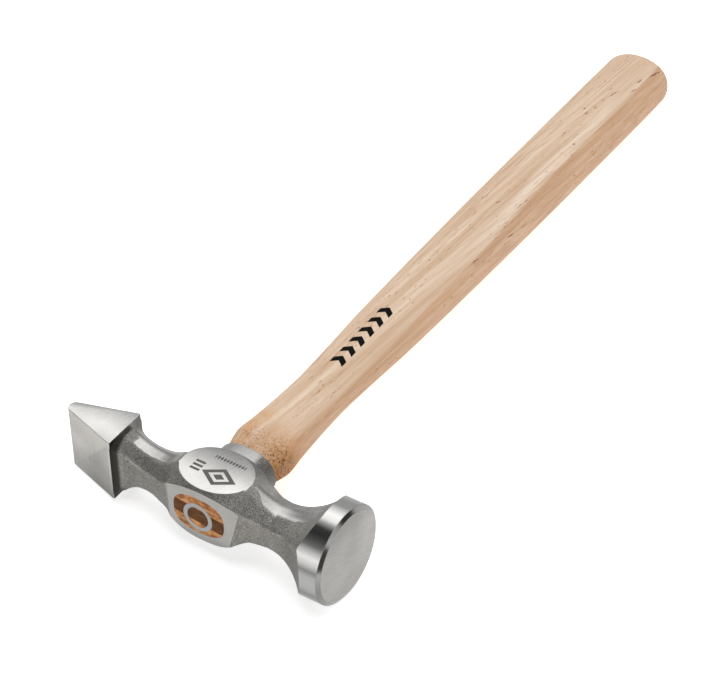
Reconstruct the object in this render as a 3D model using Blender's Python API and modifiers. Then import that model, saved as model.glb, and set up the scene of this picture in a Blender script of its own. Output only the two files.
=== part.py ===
"""Cross peen hammer: forged steel head, hardwood handle, wooden wedge and round steel wedge.

The hammer lies on its side. +X points out of the round striking face, +Y runs from the head
towards the grip, and +Z is up out of one cheek. The origin is the middle of the striking face.
All sizes are in millimetres. Positions along X are measured from the middle of the eye until the
last step, which moves everything so that the striking face is at X = 0.
"""

import math

import bmesh
import bpy
from mathutils import Vector

MM = 0.001

# Striking end: a ground round poll
FACE_X = 52.7
FACE_RADIUS = 18.0
FACE_CHAMFER_LENGTH = 1.0
FACE_CHAMFER_DEPTH = 1.5

# Peen end: a triangular prism whose edge lies across the handle
PEEN_BASE_X = -37.75
PEEN_APEX_X = -67.6
PEEN_HALF_Y = 9.2
PEEN_HALF_Z = 12.8
PEEN_TIP_RADIUS = 2.55
PEEN_EDGE_BEVEL = 0.3
PEEN_CORNER_ROUNDING = 0.9
PEEN_STEP = 0.06
BLOCK_FILLET_LENGTH = 5.0
BLOCK_FILLET_HEIGHT = 1.65
CORNER_SHARE = 0.8

# Middle of the head, around the eye
EYE_FLAT_Y = 10.8
HANDLE_SIDE_Y = 12.3
CHEEK_Z = 11.7
CHEEK_HALF_X = 13.75
CHEEK_HALF_Y = 10.5
CHEEK_CENTRE_Y = 0.8
CHEEK_SLOPE = 0.42
CHEEK_BLEND = 1.2

# Outline of the ground flat round the eye: half height at its middle, the X of that middle, its reach
UPPER_FLAT_EDGE = (10.6, 1.0, 25.8)
LOWER_FLAT_EDGE = (10.75, 1.4, 18.9)
FAR_FLAT_EDGE = (10.5, 0.0, 16.2)
FLAT_EDGE_POWER = 2.65
FLAT_EDGE_LOWEST = 4.7
FLAT_REACH_X = 22.8
FAR_SWELL_LENGTH = 8.0

# Necks: each outline is a hollow arc. Low point, its X, and the arc's radius on its -X and +X side
PEEN_NECK = {
    "side": (6.35, -33.2, 9.8, 51.0),
    "cheek": (7.45, -22.9, 21.3, 11.4),
    "side_flat": (4.1, -23.0, 23.0, 13.0),
    "cheek_flat": 2.6,
}
POLL_NECK = {
    "side": (7.85, 24.8, 26.6, 25.8),
    "cheek": (7.5, 26.2, 13.4, 23.2),
    "side_flat": (4.4, 26.6, 20.7, 24.0),
    "cheek_flat": 2.3,
}
NECK_ROUNDING = 0.8
NECK_ROUNDING_FROM_X = 29.3
NECK_END_X = 46.3

# Collar on the handle side of the eye
COLLAR_RIM_Y = 18.3
COLLAR_HALF_X = 11.35
COLLAR_HALF_Z = 8.9
COLLAR_ROUNDNESS = 2.2
COLLAR_FLARE = 0.8
COLLAR_ROOT_Y = 3.0
COLLAR_RIM_ROUNDING = 0.45

# Eye and the tenon inside it
EYE_HALF_X = 10.3
EYE_HALF_Z = 7.75
EYE_ROUNDNESS = 2.65
EYE_TAPER = 0.3
FIT_GAP = 0.3

# Handle: distance from the eye axis, half width along X, half width along Z
WAIST_Y = 62.5
HANDLE_STATIONS = (
    (19.0, 9.85, 7.35),
    (21.2, 10.45, 7.9),
    (24.9, 11.3, 8.75),
    (27.8, 11.6, 9.05),
    (35.2, 11.0, 8.6),
    (48.8, 10.4, 8.05),
    (WAIST_Y, 10.2, 7.95),
    (82.0, 10.85, 8.5),
    (101.5, 11.75, 9.25),
    (132.0, 12.5, 9.8),
    (186.0, 13.3, 10.5),
    (249.0, 13.7, 10.9),
    (287.5, 13.75, 10.95),
)
HANDLE_END_Y = 294.5
BUTT_INSET = 6.0
GRIP_ROUNDNESS = 2.15

# Wooden wedge in its saw kerf, and the round steel wedge that crosses both
KERF_DEPTH = 21.0
WEDGE_LENGTH = 19.5
WEDGE_TOP = 5.5
WEDGE_TIP = 2.4
WEDGE_CENTRE_Z = -0.15
WEDGE_TILT = 8.5
RING_CENTRE_X = -0.5
RING_CENTRE_Z = -1.0
RING_OUTER = 5.9
RING_INNER = 4.2
RING_DEPTH = 9.0
RING_TAPER = 0.45

# How finely the round shapes are drawn, and how far a helper body runs past what it cuts
FORGING_STEPS = 54
FILLET_STEPS = 4
FACE_SEGMENTS = 96
OVAL_SEGMENTS = 56
RING_SEGMENTS = 48
TIP_STEPS = 10
CORNER_STEPS = 3
COLLAR_RIM_STEPS = 3
SHOULDER_STEPS = 16
GRIP_STEPS = 18
BUTT_STEPS = 8
OVERLAP = 1.0

PIECES = "cross_peen_hammer"
CUTTERS = "cutters"


def clear_scene():
    for obj in list(bpy.data.objects):
        bpy.data.objects.remove(obj)


def make_collection(name):
    collection = bpy.data.collections.new(name)
    bpy.context.scene.collection.children.link(collection)
    return collection


def make_material(name, colour, roughness, metallic):
    material = bpy.data.materials.new(name)
    material.use_nodes = True
    shader = material.node_tree.nodes["Principled BSDF"]
    shader.inputs["Base Color"].default_value = (*colour, 1.0)
    shader.inputs["Roughness"].default_value = roughness
    shader.inputs["Metallic"].default_value = metallic
    return material


def loft(name, rings, collection):
    """A closed body through rings with equal numbers of points, given in millimetres."""
    bm = bmesh.new()
    loops = [[bm.verts.new(Vector(point) * MM) for point in ring] for ring in rings]
    for near, far in zip(loops, loops[1:]):
        for i in range(len(near)):
            j = (i + 1) % len(near)
            bm.faces.new((near[i], near[j], far[j], far[i]))
    bm.faces.new(loops[0])
    bm.faces.new(loops[-1])
    bmesh.ops.recalc_face_normals(bm, faces=bm.faces)
    mesh = bpy.data.meshes.new(name)
    bm.to_mesh(mesh)
    bm.free()
    obj = bpy.data.objects.new(name, mesh)
    collection.objects.link(obj)
    return obj


def make_cutter(name, rings, collection):
    """A helper body that only shapes other bodies."""
    obj = loft(name, rings, collection)
    obj.hide_render = True
    obj.display_type = "WIRE"
    return obj


def add_boolean(obj, tool, operation):
    modifier = obj.modifiers.new(tool.name, "BOOLEAN")
    modifier.operation = operation
    modifier.object = tool
    modifier.solver = "EXACT"


def smooth_by_angle(obj, degrees):
    obj.data.shade_smooth()
    obj.data.set_sharp_from_angle(angle=math.radians(degrees))


def turns(count):
    return [2 * math.pi * i / count for i in range(count)]


def oval(y, half_x, half_z, roundness):
    """A superellipse across the handle axis. A roundness of 2 is an ellipse."""
    points = []
    for turn in turns(OVAL_SEGMENTS):
        cos, sin = math.cos(turn), math.sin(turn)
        x = half_x * math.copysign(abs(cos) ** (2 / roundness), cos)
        z = half_z * math.copysign(abs(sin) ** (2 / roundness), sin)
        points.append((x, y, z))
    return points


def circle_across_x(x, radius):
    return [(x, radius * math.cos(turn), radius * math.sin(turn)) for turn in turns(FACE_SEGMENTS)]


def circle_across_y(y, radius):
    """A circle round the axis of the round wedge."""
    return [
        (RING_CENTRE_X + radius * math.cos(turn), y, RING_CENTRE_Z + radius * math.sin(turn))
        for turn in turns(RING_SEGMENTS)
    ]


def hollow(x, arc):
    """Distance from the head's axis on a hollow arc with a different radius on each side."""
    low, low_x, radius_minus, radius_plus = arc
    radius = radius_minus if x < low_x else radius_plus
    along = min(abs(x - low_x), radius * 0.999)
    return low + radius - math.sqrt(radius**2 - along**2)


def smooth_min(first, second, width):
    """The lower of two values, rounded off where they are within width of each other."""
    near = max(width - abs(first - second), 0.0) / width
    return min(first, second) - near**2 * width / 4


def cheek_height(x, arc):
    """Height of the upper facet: hollow along the neck, then up a slope to the cheek's ground oval."""
    height = hollow(x, arc)
    if abs(x) < abs(arc[1]):
        slope = CHEEK_Z - CHEEK_SLOPE * (abs(x) - CHEEK_HALF_X)
        return min(smooth_min(height, slope, CHEEK_BLEND), CHEEK_Z)
    if x < 0:
        return min(height, PEEN_HALF_Z - PEEN_STEP)
    return height


def block_fillet(x):
    """How far the neck swells as it runs into the back of the peen block."""
    along = min(max(x - PEEN_BASE_X, 0.0), BLOCK_FILLET_LENGTH) / BLOCK_FILLET_LENGTH
    return BLOCK_FILLET_HEIGHT * (1 - math.sqrt(1 - (1 - along) ** 2))


def flat_edge(x, outline):
    """Half height of the ground flat round the eye, never below the side facets of the necks."""
    half, middle_x, reach = outline
    return max(half * (1 - (abs(x - middle_x) / reach) ** FLAT_EDGE_POWER), FLAT_EDGE_LOWEST)


def far_swell(x):
    """The handle side stands out further than the near side, growing in over both ends of the middle."""
    part = min(1.0, (FLAT_REACH_X - abs(x)) / FAR_SWELL_LENGTH)
    return (HANDLE_SIDE_Y - EYE_FLAT_Y) * part**2 * (3 - 2 * part)


def forging_ring(x):
    """Section of the forged body: an octagon whose four corner facets have a middle point."""
    neck = PEEN_NECK if x < 0 else POLL_NECK
    swell = block_fillet(x)
    side = hollow(x, neck["side"]) + swell
    cheek = cheek_height(x, neck["cheek"])
    upper_flat = lower_flat = far_flat = hollow(x, neck["side_flat"]) + CORNER_SHARE * swell
    near_y, far_y = side, side
    if abs(x) < FLAT_REACH_X:
        near_y = min(side, EYE_FLAT_Y)
        far_y = min(side + far_swell(x), HANDLE_SIDE_Y)
        upper_flat = min(upper_flat, flat_edge(x, UPPER_FLAT_EDGE))
        lower_flat = min(lower_flat, flat_edge(x, LOWER_FLAT_EDGE))
        far_flat = min(far_flat, flat_edge(x, FAR_FLAT_EDGE))
    neck_flat = neck["cheek_flat"] + CORNER_SHARE * swell
    oval_half = CHEEK_HALF_Y * math.sqrt(max(0.0, 1 - (x / CHEEK_HALF_X) ** 2))
    near_edge = max(neck_flat, oval_half - CHEEK_CENTRE_Y)
    far_edge = max(neck_flat, oval_half + CHEEK_CENTRE_Y)
    reach = max(0.0, x - NECK_ROUNDING_FROM_X) / (NECK_END_X - NECK_ROUNDING_FROM_X)
    rounding = NECK_ROUNDING * reach**2
    tops = (-near_edge, cheek), (far_edge, cheek)
    upper = half_section((-near_y, upper_flat), *tops, (far_y, far_flat), rounding)
    lower = half_section((-near_y, lower_flat), *tops, (far_y, far_flat), rounding)
    return [(x, y, z) for y, z in upper] + [(x, y, -z) for y, z in reversed(lower)]


def half_section(near_corner, near_top, far_top, far_corner, rounding):
    """The upper half of the section from the near side to the far side, as (y, z)."""
    near_middle = facet_middle(near_corner, near_top, rounding)
    far_middle = facet_middle(far_top, far_corner, rounding)
    return [near_corner, near_middle, near_top, far_top, far_middle, far_corner]


def facet_middle(start, end, outward):
    """The middle of a facet, pushed away from the head's axis."""
    y, z = (start[0] + end[0]) / 2, (start[1] + end[1]) / 2
    grow = 1 + outward / math.hypot(y, z)
    return (y * grow, z * grow)


def make_forging(collection):
    """Both necks and the middle of the head, growing past the poll so that it can be turned down."""
    rings = [[(x - OVERLAP, y, z) for x, y, z in forging_ring(PEEN_BASE_X)]]
    for i in range(FILLET_STEPS):
        turn = math.pi / 2 * i / FILLET_STEPS
        rings.append(forging_ring(PEEN_BASE_X + BLOCK_FILLET_LENGTH * (1 - math.cos(turn))))
    start_x = PEEN_BASE_X + BLOCK_FILLET_LENGTH
    for i in range(FORGING_STEPS + 1):
        rings.append(forging_ring(start_x + (NECK_END_X - start_x) * i / FORGING_STEPS))
    rings.append([(FACE_X + OVERLAP, y, z) for x, y, z in rings[-1]])
    return loft("head", rings, collection)


def make_turned_envelope(collection):
    rings = [
        circle_across_x(PEEN_APEX_X, FACE_RADIUS),
        circle_across_x(FACE_X - FACE_CHAMFER_LENGTH, FACE_RADIUS),
        circle_across_x(FACE_X, FACE_RADIUS - FACE_CHAMFER_DEPTH),
    ]
    return make_cutter("turned_envelope", rings, collection)


def between(start, end, part):
    return (start[0] + (end[0] - start[0]) * part, start[1] + (end[1] - start[1]) * part)


def rounded_corner(side, slope):
    """A back corner of the block in plan, from -X round to +X on the near side. Side is the sign of its Y."""
    corner = (PEEN_BASE_X, side * PEEN_HALF_Y)
    on_back = (PEEN_BASE_X, corner[1] - side * PEEN_CORNER_ROUNDING)
    along, across = PEEN_CORNER_ROUNDING * math.cos(slope), PEEN_CORNER_ROUNDING * math.sin(slope)
    on_slope = (PEEN_BASE_X - along, corner[1] - side * across)
    first, last = (on_slope, on_back) if side < 0 else (on_back, on_slope)
    points = []
    for i in range(CORNER_STEPS + 1):
        part = i / CORNER_STEPS
        points.append(between(between(first, corner, part), between(corner, last, part), part))
    return points


def make_peen_block(collection):
    """The prism is drawn in plan and extruded along Z, with an arc at the working edge."""
    slope = math.atan2(PEEN_HALF_Y, PEEN_BASE_X - PEEN_APEX_X)
    tip_x = PEEN_APEX_X + PEEN_TIP_RADIUS / math.sin(slope)
    plan = rounded_corner(-1, slope) + rounded_corner(1, slope)
    start = math.pi / 2 + slope
    for i in range(TIP_STEPS + 1):
        turn = start + 2 * (math.pi - start) * i / TIP_STEPS
        plan.append((tip_x + PEEN_TIP_RADIUS * math.cos(turn), PEEN_TIP_RADIUS * math.sin(turn)))
    rings = [[(x, y, z) for x, y in plan] for z in (-PEEN_HALF_Z, PEEN_HALF_Z)]
    block = make_cutter("peen_block", rings, collection)
    bevel = block.modifiers.new("edges", "BEVEL")
    bevel.width = PEEN_EDGE_BEVEL * MM
    bevel.segments = 2
    bevel.limit_method = "ANGLE"
    bevel.angle_limit = math.radians(40)
    return block


def make_collar(collection):
    """A slightly flared boss with a rounded rim."""
    wide_x, wide_z = COLLAR_HALF_X + COLLAR_FLARE, COLLAR_HALF_Z + COLLAR_FLARE
    rings = [oval(COLLAR_ROOT_Y, wide_x, wide_z, COLLAR_ROUNDNESS)]
    for i in range(COLLAR_RIM_STEPS + 1):
        turn = math.pi / 2 * i / COLLAR_RIM_STEPS
        y = COLLAR_RIM_Y - COLLAR_RIM_ROUNDING * (1 - math.sin(turn))
        inset = COLLAR_RIM_ROUNDING * (1 - math.cos(turn))
        rings.append(oval(y, COLLAR_HALF_X - inset, COLLAR_HALF_Z - inset, COLLAR_ROUNDNESS))
    return make_cutter("collar", rings, collection)


def eye_oval(y, clearance):
    """The eye narrows towards the handle side."""
    taper = EYE_TAPER * (y + EYE_FLAT_Y) / (COLLAR_RIM_Y + EYE_FLAT_Y)
    return oval(y, EYE_HALF_X - taper - clearance, EYE_HALF_Z - taper - clearance, EYE_ROUNDNESS)


def make_head(pieces, cutters):
    head = make_forging(pieces)
    add_boolean(head, make_turned_envelope(cutters), "INTERSECT")
    add_boolean(head, make_peen_block(cutters), "UNION")
    add_boolean(head, make_collar(cutters), "UNION")
    ends = (-EYE_FLAT_Y - OVERLAP, COLLAR_RIM_Y + OVERLAP)
    eye = make_cutter("eye", [eye_oval(y, 0.0) for y in ends], cutters)
    add_boolean(head, eye, "DIFFERENCE")
    return head


def station_between(y):
    """Smooth curve through the handle stations, with the slopes of a Catmull-Rom spline."""
    table = HANDLE_STATIONS
    i = max(k for k in range(len(table) - 1) if table[k][0] <= y)
    y0, y1 = table[i][0], table[i + 1][0]
    part = (y - y0) / (y1 - y0)
    values = []
    for column in (1, 2):
        slopes = []
        for k in (i, i + 1):
            below, above = table[max(k - 1, 0)], table[min(k + 1, len(table) - 1)]
            slopes.append((above[column] - below[column]) / (above[0] - below[0]) * (y1 - y0))
        start, end = table[i][column], table[i + 1][column]
        values.append(
            (2 * part**3 - 3 * part**2 + 1) * start
            + (part**3 - 2 * part**2 + part) * slopes[0]
            + (3 * part**2 - 2 * part**3) * end
            + (part**3 - part**2) * slopes[1]
        )
    return values


def spread(start, end, count):
    """Count values from start, evenly spaced, stopping short of end."""
    return [start + (end - start) * i / count for i in range(count)]


def handle_rings():
    """Tenon, shoulder, waist, grip and rounded butt, from the eye flat outwards."""
    first_y, butt_y = HANDLE_STATIONS[0][0], HANDLE_STATIONS[-1][0]
    rings = [eye_oval(-EYE_FLAT_Y, FIT_GAP), eye_oval(COLLAR_RIM_Y, FIT_GAP)]
    for y in spread(first_y, WAIST_Y, SHOULDER_STEPS) + spread(WAIST_Y, butt_y, GRIP_STEPS):
        half_x, half_z = station_between(y)
        change = min(1.0, (y - first_y) / (WAIST_Y - first_y))
        roundness = EYE_ROUNDNESS + (GRIP_ROUNDNESS - EYE_ROUNDNESS) * change
        rings.append(oval(y, half_x, half_z, roundness))
    half_x, half_z = HANDLE_STATIONS[-1][1:]
    for i in range(BUTT_STEPS + 1):
        turn = math.pi / 2 * i / BUTT_STEPS
        y = butt_y + (HANDLE_END_Y - butt_y) * math.sin(turn)
        inset = BUTT_INSET * (1 - math.cos(turn))
        rings.append(oval(y, half_x - inset, half_z - inset, GRIP_ROUNDNESS))
    return rings


def wedge_plate_rings(top, tip, clearance):
    """A tilted plate wider than the eye that thins from the eye flat down into the tenon."""
    reach = EYE_HALF_X + OVERLAP
    cos, sin = math.cos(math.radians(WEDGE_TILT)), math.sin(math.radians(WEDGE_TILT))
    slope = (WEDGE_TOP - WEDGE_TIP) / 2 / WEDGE_LENGTH
    rings = []
    for depth in (top, tip):
        half = WEDGE_TOP / 2 - slope * depth + clearance
        y = depth - EYE_FLAT_Y
        corners = ((-reach, -half), (reach, -half), (reach, half), (-reach, half))
        rings.append([(x * cos + z * sin, y, WEDGE_CENTRE_Z - x * sin + z * cos) for x, z in corners])
    return rings


def ring_wedge_rings(top, tip, clearance):
    """The tapered outside of the round wedge."""
    radius = RING_OUTER + clearance
    return [
        circle_across_y(top - EYE_FLAT_Y, radius),
        circle_across_y(tip - EYE_FLAT_Y, radius - RING_TAPER),
    ]


def make_bore(name, radius, cutters):
    """The straight inside of the round wedge, longer than the wedge at both ends."""
    ends = (-EYE_FLAT_Y - 2 * OVERLAP, RING_DEPTH - EYE_FLAT_Y + 2 * OVERLAP)
    return make_cutter(name, [circle_across_y(y, radius) for y in ends], cutters)


def make_ring_slot(cutters):
    slot = make_cutter("ring_slot", ring_wedge_rings(-OVERLAP, RING_DEPTH + FIT_GAP, FIT_GAP), cutters)
    add_boolean(slot, make_bore("ring_slot_core", RING_INNER - FIT_GAP, cutters), "DIFFERENCE")
    return slot


def make_handle(pieces, cutters, slot):
    handle = loft("handle", handle_rings(), pieces)
    kerf = make_cutter("kerf", wedge_plate_rings(-OVERLAP, KERF_DEPTH, FIT_GAP), cutters)
    add_boolean(handle, kerf, "DIFFERENCE")
    add_boolean(handle, slot, "DIFFERENCE")
    return handle


def make_wooden_wedge(pieces, cutters, slot):
    wedge = loft("wooden_wedge", wedge_plate_rings(0.0, WEDGE_LENGTH, 0.0), pieces)
    ends = (-EYE_FLAT_Y - OVERLAP, COLLAR_RIM_Y)
    outline = make_cutter("wedge_outline", [eye_oval(y, FIT_GAP) for y in ends], cutters)
    add_boolean(wedge, outline, "INTERSECT")
    add_boolean(wedge, slot, "DIFFERENCE")
    return wedge


def make_ring_wedge(pieces, cutters):
    ring = loft("round_steel_wedge", ring_wedge_rings(0.0, RING_DEPTH, 0.0), pieces)
    add_boolean(ring, make_bore("ring_core", RING_INNER, cutters), "DIFFERENCE")
    return ring


def main():
    clear_scene()
    pieces = make_collection(PIECES)
    cutters = make_collection(CUTTERS)
    slot = make_ring_slot(cutters)
    steel = make_material("forged_steel", (0.36, 0.35, 0.33), 0.4, 1.0)
    wood = make_material("pale_hardwood", (0.68, 0.5, 0.34), 0.55, 0.0)
    dark_wood = make_material("dark_hardwood", (0.12, 0.05, 0.02), 0.6, 0.0)
    ring_steel = make_material("mild_steel", (0.45, 0.45, 0.44), 0.35, 1.0)
    made = [
        (make_head(pieces, cutters), steel, 28),
        (make_handle(pieces, cutters, slot), wood, 40),
        (make_wooden_wedge(pieces, cutters, slot), dark_wood, 40),
        (make_ring_wedge(pieces, cutters), ring_steel, 40),
    ]
    for obj, material, angle in made:
        obj.data.materials.append(material)
        smooth_by_angle(obj, angle)
    for obj in list(pieces.objects) + list(cutters.objects):
        obj.location.x = -FACE_X * MM


main()
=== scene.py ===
"""Looks of the cross peen hammer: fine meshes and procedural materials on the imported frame.

Shapes are drawn in millimetres from the middle of the eye, with X towards the striking face,
Y towards the grip and Z up, and then moved onto the frame.
"""

import math

import bmesh
import bpy
from mathutils import Matrix, Vector


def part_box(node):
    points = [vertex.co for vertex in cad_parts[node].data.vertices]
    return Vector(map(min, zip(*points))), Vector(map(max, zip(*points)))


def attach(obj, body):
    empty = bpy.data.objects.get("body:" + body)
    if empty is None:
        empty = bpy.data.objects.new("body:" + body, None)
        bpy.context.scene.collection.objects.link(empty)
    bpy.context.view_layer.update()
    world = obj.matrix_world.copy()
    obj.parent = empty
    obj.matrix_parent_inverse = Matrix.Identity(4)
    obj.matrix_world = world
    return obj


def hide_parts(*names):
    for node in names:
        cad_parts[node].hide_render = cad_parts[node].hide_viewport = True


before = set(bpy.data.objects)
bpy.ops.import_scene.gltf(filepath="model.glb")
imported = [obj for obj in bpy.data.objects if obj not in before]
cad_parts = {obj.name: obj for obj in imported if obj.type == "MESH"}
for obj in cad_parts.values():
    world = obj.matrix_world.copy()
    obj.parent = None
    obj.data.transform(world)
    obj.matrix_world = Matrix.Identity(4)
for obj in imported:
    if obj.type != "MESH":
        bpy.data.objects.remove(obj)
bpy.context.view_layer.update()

MM = 0.001

HEAD_LOW, HEAD_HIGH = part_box("head")
HANDLE_LOW, HANDLE_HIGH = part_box("handle")
RING_LOW, RING_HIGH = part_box("round_steel_wedge")
WEDGE_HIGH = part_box("wooden_wedge")[1]

# Driving sizes read from the frame
EYE_X = (HANDLE_LOW.x + HANDLE_HIGH.x) / 2 / MM
FACE_X = HEAD_HIGH.x / MM - EYE_X
FACE_RADIUS = HEAD_HIGH.z / MM
EYE_FLAT_Y = -HANDLE_LOW.y / MM
HANDLE_END_Y = HANDLE_HIGH.y / MM
PEEN_TIP_X = HEAD_LOW.x / MM - EYE_X
RING_CENTRE_X = (RING_LOW.x + RING_HIGH.x) / 2 / MM - EYE_X
RING_CENTRE_Z = (RING_LOW.z + RING_HIGH.z) / 2 / MM
RING_OUTER = (RING_HIGH.x - RING_LOW.x) / 2 / MM
RING_DEPTH = RING_HIGH.y / MM + EYE_FLAT_Y
WEDGE_LENGTH = WEDGE_HIGH.y / MM + EYE_FLAT_Y

# Poll
FACE_CHAMFER_LENGTH = 1.0
FACE_CHAMFER_DEPTH = 1.5
CHAMFER_EDGE = 0.12

# Peen
PEEN_BASE_X = -37.75
PEEN_APEX_X = -67.6
PEEN_HALF_Y = 9.2
PEEN_SLOPE = math.atan2(PEEN_HALF_Y, PEEN_BASE_X - PEEN_APEX_X)
PEEN_HALF_Z = 12.8
PEEN_TIP_RADIUS = 2.55
PEEN_EDGE_BEVEL = 0.3
PEEN_ROUNDING = 0.9
PEEN_STEP = 0.02

# Middle of the head
HANDLE_SIDE_Y = 12.3
CHEEK_Z = 11.7
CHEEK_HALF_X = 13.75
CHEEK_HALF_Y = 10.5
CHEEK_CENTRE_Y = 0.8
CHEEK_SLOPE = 0.42
CHEEK_BLEND = 1.2

# Outlines of the ground flat round the eye: half height at the middle, X of that middle, and reach
UPPER_FLAT, LOWER_FLAT, FAR_FLAT = (10.6, 1.0, 25.8), (10.75, 1.4, 18.9), (10.5, 0.0, 16.2)
FLAT_EDGE_POWER = 2.65
FLAT_EDGE_LOWEST = 4.7
FLAT_REACH_X = 22.8
FAR_SWELL_LENGTH = 8.0

# Necks: low point of each hollow outline, its X, and the arc's radius on its -X and +X side
PEEN_NECK = {
    "side": (6.35, -33.2, 9.8, 51.0),
    "cheek": (7.45, -22.9, 21.3, 11.4),
    "side_flat": (4.1, -23.0, 23.0, 13.0),
    "cheek_flat": 2.6,
}
POLL_NECK = {
    "side": (7.85, 24.8, 26.6, 25.8),
    "cheek": (7.5, 26.2, 13.4, 23.2),
    "side_flat": (4.4, 26.6, 20.7, 24.0),
    "cheek_flat": 2.3,
}
NECK_ROUNDING = 0.8
NECK_ROUNDING_FROM_X = 29.3
NECK_END_X = 46.3
FORGED_EDGE = 1.3
GROUND_EDGE = 0.12
FLAT_BLEND = 0.5
MOST_CUT = 0.4
EDGE_CHANGE_FROM_X = CHEEK_HALF_X - 1
EDGE_CHANGE_LENGTH = 3
BLOCK_FILLET_LENGTH = 5.0
BLOCK_FILLET_HEIGHT = 1.65
CORNER_SHARE = 0.8

# Collar, eye and handle
COLLAR_RIM_Y = 18.3
COLLAR_HALF_X = 11.35
COLLAR_HALF_Z = 8.9
COLLAR_ROUNDNESS = 2.2
COLLAR_FLARE = 0.8
COLLAR_ROOT_Y = 3.0
COLLAR_RIM_ROUNDING = 0.45
EYE_HALF_X = 10.3
EYE_HALF_Z = 7.75
EYE_ROUNDNESS = 2.65
EYE_TAPER = 0.3
TIGHT_GAP = 0.04
RING_WALL = 1.7
RING_EDGE_BEVEL = 0.08
WEDGE_TOP = 5.5
WEDGE_TIP = 2.4
WEDGE_CENTRE_Z = -0.15
WEDGE_TILT = 8.5
WAIST_Y = 62.5
# Stations of the handle: Y, then half widths along X and Z
HANDLE_STATIONS = (
    (19.0, 9.95, 7.45), (21.2, 10.45, 7.9), (24.9, 11.3, 8.75), (27.8, 11.6, 9.05), (35.2, 11.0, 8.6),
    (48.8, 10.4, 8.05), (WAIST_Y, 10.2, 7.95), (82.0, 10.85, 8.5), (101.5, 11.75, 9.25), (132.0, 12.5, 9.8),
    (186.0, 13.3, 10.5), (249.0, 13.7, 10.9), (287.5, 13.75, 10.95),
)
BUTT_INSET = 6.0
GRIP_ROUNDNESS = 2.15
OVERLAP = 1.0
END_FACE_DEPTH = 0.5

# Fineness of the meshes: points round an outline, steps along a run, and sharp angles in degrees
FACE_POINTS = 192
RING_POINTS = 96
OVAL_POINTS = 128
EDGE_STEPS = 5
SIDE_STEPS = 6
FILLET_STEPS = 10
FORGING_STEPS = 226
PEEN_TIP_STEPS = 16
COLLAR_RIM_STEPS = 6
TENON_STEPS = 19
GRIP_STEPS = 260
BUTT_STEPS = 18
BEVEL_FROM = 40
STEEL_SHARP = 24
WOOD_SHARP = 40


# ---------------- mesh helpers


def add_object(name, data):
    obj = bpy.data.objects.new(name, data)
    bpy.context.scene.collection.objects.link(obj)
    return obj


def mesh_object(name, bm):
    mesh = bpy.data.meshes.new(name)
    bm.to_mesh(mesh)
    bm.free()
    return add_object(name, mesh)


def loft(name, rings):
    """A closed body through rings with equal numbers of points, given in millimetres."""
    bm = bmesh.new()
    loops = [[bm.verts.new(Vector(point) * MM) for point in ring] for ring in rings]
    for near, far in zip(loops, loops[1:]):
        for i in range(len(near)):
            j = (i + 1) % len(near)
            bm.faces.new((near[i], near[j], far[j], far[i]))
    bm.faces.new(loops[0])
    bm.faces.new(loops[-1])
    bmesh.ops.recalc_face_normals(bm, faces=bm.faces)
    return mesh_object(name, bm)


def apply_modifiers(obj):
    graph = bpy.context.evaluated_depsgraph_get()
    mesh = bpy.data.meshes.new_from_object(obj.evaluated_get(graph))
    obj.modifiers.clear()
    obj.data = mesh


def combine(obj, tool, operation):
    """Boolean of obj with a throwaway tool."""
    modifier = obj.modifiers.new("combine", "BOOLEAN")
    modifier.operation = operation
    modifier.object = tool
    modifier.solver = "EXACT"
    apply_modifiers(obj)
    bpy.data.objects.remove(tool)


def bevel(obj, width, segments):
    modifier = obj.modifiers.new("bevel", "BEVEL")
    modifier.width = width * MM
    modifier.segments = segments
    modifier.limit_method = "ANGLE"
    modifier.angle_limit = math.radians(BEVEL_FROM)
    apply_modifiers(obj)


def turns(count):
    return [2 * math.pi * i / count for i in range(count)]


def quarter_turn(count):
    return [math.pi / 2 * i / count for i in range(count + 1)]


def oval(y, half_x, half_z, roundness):
    """A superellipse across the handle axis. A roundness of 2 is an ellipse."""
    points = []
    for turn in turns(OVAL_POINTS):
        cos, sin = math.cos(turn), math.sin(turn)
        x = half_x * math.copysign(abs(cos) ** (2 / roundness), cos)
        z = half_z * math.copysign(abs(sin) ** (2 / roundness), sin)
        points.append((x, y, z))
    return points


def eye_oval(y, clearance):
    taper = EYE_TAPER * (y + EYE_FLAT_Y) / (COLLAR_RIM_Y + EYE_FLAT_Y)
    return oval(y, EYE_HALF_X - taper - clearance, EYE_HALF_Z - taper - clearance, EYE_ROUNDNESS)


def circle_across_x(x, radius):
    return [(x, radius * math.cos(turn), radius * math.sin(turn)) for turn in turns(FACE_POINTS)]


def circle_across_y(y, radius):
    """A circle round the axis of the round wedge."""
    return [
        (RING_CENTRE_X + radius * math.cos(turn), y, RING_CENTRE_Z + radius * math.sin(turn))
        for turn in turns(RING_POINTS)
    ]


def finish_piece(obj, node, materials, sharp_degrees=WOOD_SHARP):
    for material in materials:
        obj.data.materials.append(material)
    obj.data.transform(Matrix.Translation((EYE_X * MM, 0, 0)))
    obj.data.shade_smooth()
    obj.data.set_sharp_from_angle(angle=math.radians(sharp_degrees))
    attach(obj, "root")
    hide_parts(node)


# ---------------- head


def hollow(x, arc):
    """Distance from the head's axis on a hollow arc with a different radius on each side."""
    low, low_x, radius_minus, radius_plus = arc
    radius = radius_minus if x < low_x else radius_plus
    along = min(abs(x - low_x), radius * 0.999)
    return low + radius - math.sqrt(radius**2 - along**2)


def smooth_min(first, second, width):
    near = max(width - abs(first - second), 0.0) / width
    return min(first, second) - near**2 * width / 4


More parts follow.
